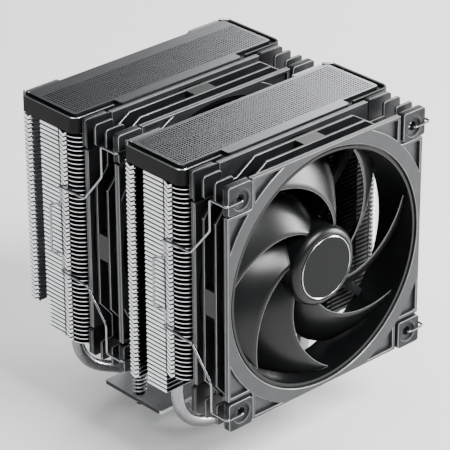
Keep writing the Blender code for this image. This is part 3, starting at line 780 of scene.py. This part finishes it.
def corner_ears(front_y, depth, thickness, inner, hole_radius=0.0):
    """The four corner plates at one depth, with a screw hole where it has a size."""
    ears = []
    half = (FAN_HALF - inner) / 2
    place = fan_plane(front_y, depth)
    for x in (-1, 1):
        for z in (-1, 1):
            hole = ring_points((x * SCREW_SPACING / 2, z * SCREW_SPACING / 2), hole_radius, 20)
            outline = rounded(half, half, 1.4, (x * (FAN_HALF - half), z * (FAN_HALF - half)))
            ears.append(slab(outline, place, (0, thickness, 0), [hole] if hole_radius else ()))
    return ears


def rail(front_y, span, top_half, side_half):
    """A flat rail all round at one depth, broken off before the corners."""
    inset = 53.4
    quarter = [(FAN_HALF, side_half), (inset, side_half + 8.0), (inset, 49.5), (49.5, inset)]
    quarter += [(top_half + 10.6, inset), (top_half, FAN_HALF)]
    bore = ring_points((0, 0), 57.1, 96)
    place = fan_plane(front_y, span[0])
    return chamfer(slab(four_corners(quarter), place, (0, span[1] - span[0], 0), [bore]), 0.22)


def rail_bridges(front_y):
    """Short blocks that join the two rails in the middle of each side."""
    bridges = []
    for side in (-1, 1):
        corners_of_end = ((-6.4, -1.3), (6.4, -1.3), (6.4, 1.3), (-6.4, 1.3))
        upright_end = [(side * 58.6 + out, along) for along, out in corners_of_end]
        lying_end = [(along, out) for out, along in upright_end]
        for outline in (upright_end, lying_end):
            bridges.append(slab(outline, fan_plane(front_y, 9.3), (0, 6.3, 0)))
    return bridges


def fan_frame(fan, top_half, side_half):
    """The bore, the two flanges, the rails and ears between them, and the motor's seat on its struts."""
    front_y = FAN_FACES[fan]
    shell = [
        (55.6, 1.7), (56.8, 1.7), (56.8, 2.6), (58.4, 2.6), (58.4, 3.5), (57.2, 3.7), (57.2, 21.3),
        (58.4, 21.5), (58.4, 22.4), (56.8, 22.4), (56.8, 23.3), (55.6, 23.3),
    ]  # fmt: skip
    bore = spun(shell, 96, (0, front_y, FAN_Z))
    piece(f"{fan}_bore", bore, PBT_BLADE, "root", "fan_plastic")
    front_flange, rear_flange = FLANGE_DEPTHS
    flanges = together(flange(front_y, front_flange, 1), flange(front_y, rear_flange, -1))
    # The flanges take the lighter copy of the plastic: painted light on their front faces.
    piece(f"{fan}_flanges", flanges, (PBT_FRAME_PAINTED_LIGHT, PBT_EDGE_HIGHLIGHT), "root", "fan_plastic", f"{fan}_frame")
    parts = []
    for span in RAIL_DEPTHS:
        parts.append(rail(front_y, span, top_half, side_half))
        rail_ears = corner_ears(front_y, span[0], span[1] - span[0], RAIL_EAR_INNER)
        parts += [chamfer(ear, 0.22) for ear in rail_ears]
    front_ears, rear_ears = EAR_DEPTHS
    parts += corner_ears(front_y, front_ears, EAR_THICKNESS, EAR_INNER, EAR_HOLE)
    parts += corner_ears(front_y, rear_ears, EAR_THICKNESS, EAR_INNER)
    parts += rail_bridges(front_y)
    # The rails take the darker copy of the plastic: painted shade.
    piece(f"{fan}_housing", together(*parts), (PBT_RAIL_PAINTED_SHADE, PBT_EDGE_HIGHLIGHT), "root", "fan_plastic")
    seat = [
        (4.3, 8.0), (5.6, 8.0), (5.6, 20.2), (19.4, 20.7), (20.0, 21.3), (20.0, 24.0), (3.0, 24.0),
        (3.0, 21.0), (4.3, 20.6),
    ]  # fmt: skip
    struts = [spun(seat, 64, (0, front_y, FAN_Z))]
    low, high = (-2.0, front_y + 20.8, FAN_Z + 18.5), (2.0, front_y + 23.6, FAN_Z + 57.0)
    for k in range(4):
        struts.append(turned_about_fan(chamfer(block(low, high), 0.6, 2), front_y, 41.0 + 90.0 * k))
    piece(f"{fan}_motor_seat", together(*struts), (PBT_FRAME_PAINTED_LIGHT, PBT_FRAME_PAINTED_LIGHT), "root", "fan_plastic")


def pad_dots(place, rise, outer_x, outer_z):
    """Ten raised dots in a triangle, in the pad's outer corner."""
    spots = [(i, j) for i in range(4) for j in range(4 - i)]
    turn_x, turn_z = math.copysign(1.0, outer_x), math.copysign(1.0, outer_z)
    return [
        slab(ring_points((outer_x - turn_x * i, outer_z - turn_z * j), 0.3, 6), place, rise) for i, j in spots
    ]


def fan_pad(fan, face, row, column):
    """One rubber corner pad, with a shallow cup round its hole and dots in its outer corner."""
    x = 1 if column == "right" else -1
    z = 1 if row == "top" else -1
    front_y = FAN_FACES[fan]
    depth, rise = (0.0, 2.4) if face == "front" else (25.0, -2.4)
    way = math.copysign(1.0, rise)
    centre = (x * (FAN_HALF - PAD / 2), z * (FAN_HALF - PAD / 2))
    hole_at = (x * SCREW_SPACING / 2, z * SCREW_SPACING / 2)
    well = ring_points(hole_at, 4.95, 32)
    outline = rounded(PAD / 2, PAD / 2, 1.4, centre)
    body = chamfer(slab(outline, fan_plane(front_y, depth), (0, rise, 0), [well]), 0.25)
    dots = pad_dots(fan_plane(front_y, depth + 0.05 * way), (0, -0.05 * way, 0), x * 58.4, z * 58.4)
    steps = [(4.1, 0.0), (4.1, 0.5), (2.2, 0.9), (2.2, 2.4), (5.0, 2.4), (5.0, 0.0)]
    cup_profile = [(radius, way * run) for radius, run in steps]
    cup = spun(cup_profile, 32, (hole_at[0], front_y + depth, FAN_Z + hole_at[1]))
    whole = together(body, cup, *dots)
    node = f"{fan}_{face}_pad_{row}_{column}"
    name = f"{fan}_{face}_cushion_{row}_{column}"
    piece(name, whole, (RUBBER, RUBBER_EDGE_HIGHLIGHT), "root", "pad_rubber", node)


def blade(front_y):
    """One fan blade: a sheet swept forwards, twisted, cambered and given its thickness."""
    bm = bmesh.new()
    bmesh.ops.create_grid(bm, x_segments=18, y_segments=12, size=0.5)
    for vert in bm.verts:
        t, s = vert.co.x + 0.5, vert.co.y + 0.5
        radius = BLADE_ROOT + (BLADE_TIP - BLADE_ROOT) * t
        angle = math.radians(108.0 + 64.0 * t**0.85 - 37.0 * s)
        start = 4.2 + 1.4 * (1 - t)
        depth = start + (18.0 - start) * s - 1.1 * math.sin(math.pi * s)
        vert.co = (radius * math.cos(angle), front_y + depth, FAN_Z + radius * math.sin(angle))
    bmesh.ops.solidify(bm, geom=bm.faces[:], thickness=1.3)
    bmesh.ops.recalc_face_normals(bm, faces=bm.faces)
    return chamfer(bm, 0.35, 2, 50.0)


def impeller(fan):
    """The hub with its seven blades, and the disc on its front with a ring of bright metal round it as a
    painted highlight.
    """
    front_y = FAN_FACES[fan]
    hub = [
        (0, 2.0), (15.3, 2.0), (15.6, 1.4), (16.2, 1.4), (17.6, 2.3), (18.6, 3.3), (19.0, 4.8),
        (19.0, 19.4), (17.2, 19.4), (17.2, 5.2), (0, 5.2),
    ]  # fmt: skip
    blades = blade(front_y)
    bmesh.ops.spin(
        blades,
        geom=blades.verts[:] + blades.edges[:] + blades.faces[:],
        cent=(0, front_y, FAN_Z),
        axis=(0, 1, 0),
        angle=math.tau * (BLADES - 1) / BLADES,
        steps=BLADES - 1,
        use_duplicate=True,
    )
    whole = together(spun(hub, 96, (0, front_y, FAN_Z)), blades)
    body = fan.replace("_fan", "_impeller")
    # The blade chamfers take a pale copy of the plastic: painted edge highlights.
    piece(
        f"{fan}_rotor", whole, (PBT_BLADE, BLADE_EDGE_HIGHLIGHT), body, "fan_plastic", f"{fan}_impeller",
        smooth_below=40.0,
    )  # fmt: skip
    disc = [(0, 1.15), (14.5, 1.15), (14.5, 2.05), (0, 2.05)]
    piece(
        f"{fan}_hub_disc", spun(disc, 96, (0, front_y, FAN_Z)), DISC, body, "hub_badge", f"{fan}_hub_badge"
    )
    # A ring of bright metal round the disc: a painted highlight.
    rim = [(14.5, 1.2), (14.75, 1.0), (15.0, 1.2), (15.0, 2.05), (14.5, 2.05)]
    piece(f"{fan}_hub_disc_rim", spun(rim, 96, (0, front_y, FAN_Z)), CUT_EDGE_HIGHLIGHT, body, "hub_badge")


def wire_clip(fan, side, name):
    """A fan clip of bent spring wire: hooked into the fan's holes and into the tower's side notch."""
    front_y = FAN_FACES[fan]
    notch_y = front_y + 39.95
    x = side * 62.3
    upper = [
        (side * 52.5, front_y + 2.6, 52.5), (side * 52.5, front_y - 1.0, 52.5), (x, front_y - 1.0, 52.5),
        (x, front_y + 9.2, 52.5), (x, front_y + 9.2, 37.5), (x, front_y + 21.5, 22.5),
        (x, notch_y, 21.8), (side * 61.3, notch_y, 20.6), (side * 61.3, notch_y, 12.8),
        (side * 64.7, notch_y + 3.6, 12.4),
    ]  # fmt: skip
    path = upper + [(x, y, -z) for x, y, z in reversed(upper)]
    bent = softened_path([(x, y, z + FAN_Z) for x, y, z in path], 1.3)
    node = f"{fan}_wire_clip_{name}"
    body = f"{fan.replace('_fan', '')}_clip_{name}"
    wire = drawn_bar(bent, WIRE_RADIUS)
    piece(f"{fan}_clip_wire_{name}", wire, WIRE, body, "clip_wire", node, smooth_below=60.0)


# Base


def heat_pipe(number):
    """A pipe from one tower down through the base and up into the other."""
    tower_x, base_x, reach = (row[number] for row in (PIPE_ROWS, BASE_ROWS, FOOT_REACH))
    front, rear = TOWERS["front"], TOWERS["rear"]
    path = [
        (tower_x, front, PIPE_TOP_Z), (tower_x, front, PIPE_TURN_Z), (base_x, -reach, PIPE_BASE_Z),
        (base_x, reach, PIPE_BASE_Z), (tower_x, rear, PIPE_TURN_Z), (tower_x, rear, PIPE_TOP_Z),
    ]  # fmt: skip
    pipe = drawn_bar(softened_path(path, PIPE_BEND, 12), PIPE_RADIUS, 6)
    node = f"heat_pipe_{number + 1}"
    piece(f"pipe_{number + 1}", pipe, NICKEL, "root", "nickel_plate", node, smooth_below=60.0)


def crossbar():
    """The bar over the base: satin faces, bright chamfers as painted highlights and black ends as painted
    shade.
    """
    drilled = ((-BOARD_SCREW_X, 2.6), (-BAR_SCREW_X, 1.9), (BAR_SCREW_X, 1.9), (BOARD_SCREW_X, 2.6))
    holes = [ring_points((x, 0.0), radius, 28) for x, radius in drilled]
    low, high = corners("mounting_crossbar")
    bar = slab(rounded(high.x, high.y, 1.0), level(low.z), (0, 0, high.z - low.z), holes)
    chamfer(bar, 0.15)
    # The end faces take the black material: painted shade.
    for face in bar.faces:
        if abs(face.normal.x) > 0.9:
            face.material_index = 2
    piece("crossbar", bar, (BAR_METAL, CUT_EDGE_HIGHLIGHT, BAR_END_PAINTED_SHADE), "root", "satin_bar", "mounting_crossbar")


def crossbar_screw(side, name):
    """A round-headed screw that holds the bar down."""
    foot_z = corners(f"crossbar_screw_{name}")[0].z
    head = [(0, 19.3), (1.2, 19.3), (1.4, 19.7), (2.5, 19.6), (3.0, 19.0), (3.0, 17.8), (1.6, 17.8)]
    screw = spun(head + [(1.6, foot_z), (0, foot_z)], 40, (side * BAR_SCREW_X, 0, 0), (0, 0, 1))
    piece(f"bar_screw_{name}", screw, SCREW_STEEL, "root", "screw_steel", f"crossbar_screw_{name}")


def coil_path(centre_x, radius, foot_z, height, turns, steps):
    """Points round an upright coil."""
    rise = height / (math.tau * turns)
    angles = [math.tau * k / steps for k in range(turns * steps + 1)]
    return [
        Vector((centre_x + radius * math.cos(a), radius * math.sin(a), foot_z + rise * a)) for a in angles
    ]


def spring_screw(side, name):
    """A captive board screw with its coil spring, washer and clip ring."""
    x = side * BOARD_SCREW_X
    place, up = (x, 0, 0), (0, 0, 1)
    coil = drawn_bar(coil_path(x, 3.0, 18.4, 12.2, 6, 22), 0.5)
    spring = piece(
        f"coil_spring_{name}", coil, SPRING_STEEL, "root", "spring_steel", f"screw_spring_{name}",
        smooth_below=60.0,
    )  # fmt: skip
    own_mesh(spring)
    rim = [(2.3, 31.4), (4.0, 31.4), (4.2, 31.6), (4.2, 32.2), (4.0, 32.4), (2.3, 32.4)]
    washer, body = spun(rim, 40, place, up), f"washer_{name}"
    piece(f"washer_{name}", washer, SPRING_STEEL, body, "spring_steel", f"spring_washer_{name}")
    profile = [
        (0, 11.4), (1.3, 11.4), (1.8, 12.0), (1.8, 13.6), (1.4, 13.6), (1.4, 15), (1.95, 15), (1.95, 32.7),
        (3.6, 32.7), (3.9, 33.0), (3.9, 35.6), (3.2, 36.4), (1.5, 36.4), (1.2, 34.6), (0, 34.6),
    ]  # fmt: skip
    screw, body = spun(profile, 48, place, up), f"screw_{name}"
    piece(f"board_screw_{name}", screw, SCREW_STEEL, body, "screw_steel", f"mounting_screw_{name}")
    ring = spun([(1.8, 14.0), (3.3, 14.0), (3.4, 14.1), (3.4, 14.6), (3.3, 14.7), (1.8, 14.7)], 32, place, up)
    piece(f"clip_ring_{name}", ring, SPRING_STEEL, body, "spring_steel", f"screw_clip_ring_{name}")


def finish_node(node, material):
    """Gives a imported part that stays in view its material."""
    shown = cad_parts[node]
    shown.data.materials.clear()
    shown.data.materials.append(material)


# Studio


def studio():
    """A pale floor under an even, dim sky."""
    floor = bmesh.new()
    bmesh.ops.create_grid(floor, x_segments=1, y_segments=1, size=4.0)
    mesh = bpy.data.meshes.new("floor")
    floor.to_mesh(mesh)
    floor.free()
    mesh.materials.append(pale_floor())
    made = bpy.data.objects.new("floor", mesh)
    bpy.context.scene.collection.objects.link(made)
    world = bpy.data.worlds.new("studio")
    world.use_nodes = True
    world.node_tree.nodes["Background"].inputs["Color"].default_value = linear("#eef0f3")
    world.node_tree.nodes["Background"].inputs["Strength"].default_value = WORLD_LIGHT
    bpy.context.scene.world = world


def soft_light(name, place, target, size, power):
    """A rectangular softbox aimed at a point; places are in metres."""
    lamp = bpy.data.lights.new(name, "AREA")
    lamp.shape = "RECTANGLE"
    lamp.size, lamp.size_y = size
    lamp.energy = power
    made = bpy.data.objects.new(name, lamp)
    made.location = place
    made.rotation_euler = (Vector(target) - Vector(place)).to_track_quat("-Z", "Y").to_euler()
    bpy.context.scene.collection.objects.link(made)


def camera():
    """A long lens from the front left, a little above the covers."""
    right = Vector((0.73397108, -0.67916118, -0.00515299))
    up = Vector((0.31709331, 0.33595434, 0.88689713))
    back = right.cross(up)
    lens = bpy.data.cameras.new("camera")
    lens.lens, lens.sensor_width = 212.69, 36.0
    lens.clip_end = 20.0
    made = bpy.data.objects.new("camera", lens)
    turn = Matrix((right, up, back)).transposed().to_4x4()
    made.matrix_world = Matrix.Translation((-0.734595, -0.812020, 0.660745)) @ turn
    bpy.context.scene.collection.objects.link(made)
    bpy.context.scene.camera = made


for end in TOWERS:
    fin_stack(end)
    cover_body(end)
    cover_rims(end)
grille_plate("front", 20, -15.4)
grille_plate("rear", 16, -15.2)

for fan, top_half, side_half in (("front_fan", 30.0, 40.0), ("middle_fan", 40.0, 30.0)):
    fan_frame(fan, top_half, side_half)
    impeller(fan)
    for side, name in ((-1, "left"), (1, "right")):
        wire_clip(fan, side, name)
        for row in ("top", "bottom"):
            for face in ("front", "rear"):
                fan_pad(fan, face, row, name)
    finish_node(f"{fan}_magnet_ring", FERRITE)
    finish_node(f"{fan}_shaft", SHAFT_STEEL)
    finish_node(f"{fan}_sleeve_bearing", BRONZE)
    finish_node(f"{fan}_stator", COPPER_WIRE)

for number in range(6):
    heat_pipe(number)
crossbar()
for side, name in ((-1, "left"), (1, "right")):
    crossbar_screw(side, name)
    spring_screw(side, name)
finish_node("base_plate", BASE_NICKEL)
finish_node("pipe_clamp_block", CLAMP_METAL)

studio()
soft_light("front", (0.2, -1.3, 1.5), (0, 0, 0.1), (0.9, 0.6), 70)
soft_light("side", (1.3, -0.7, 0.35), (0, -0.08, 0.1), (0.5, 0.6), 38)
soft_light("back", (1.32, 0.72, 0.78), (0, 0, 0.16), (0.85, 0.55), 15)
soft_light("top", (-0.5, 0.2, 1.7), (0, 0, 0.1), (1.2, 1.2), 16)
camera()
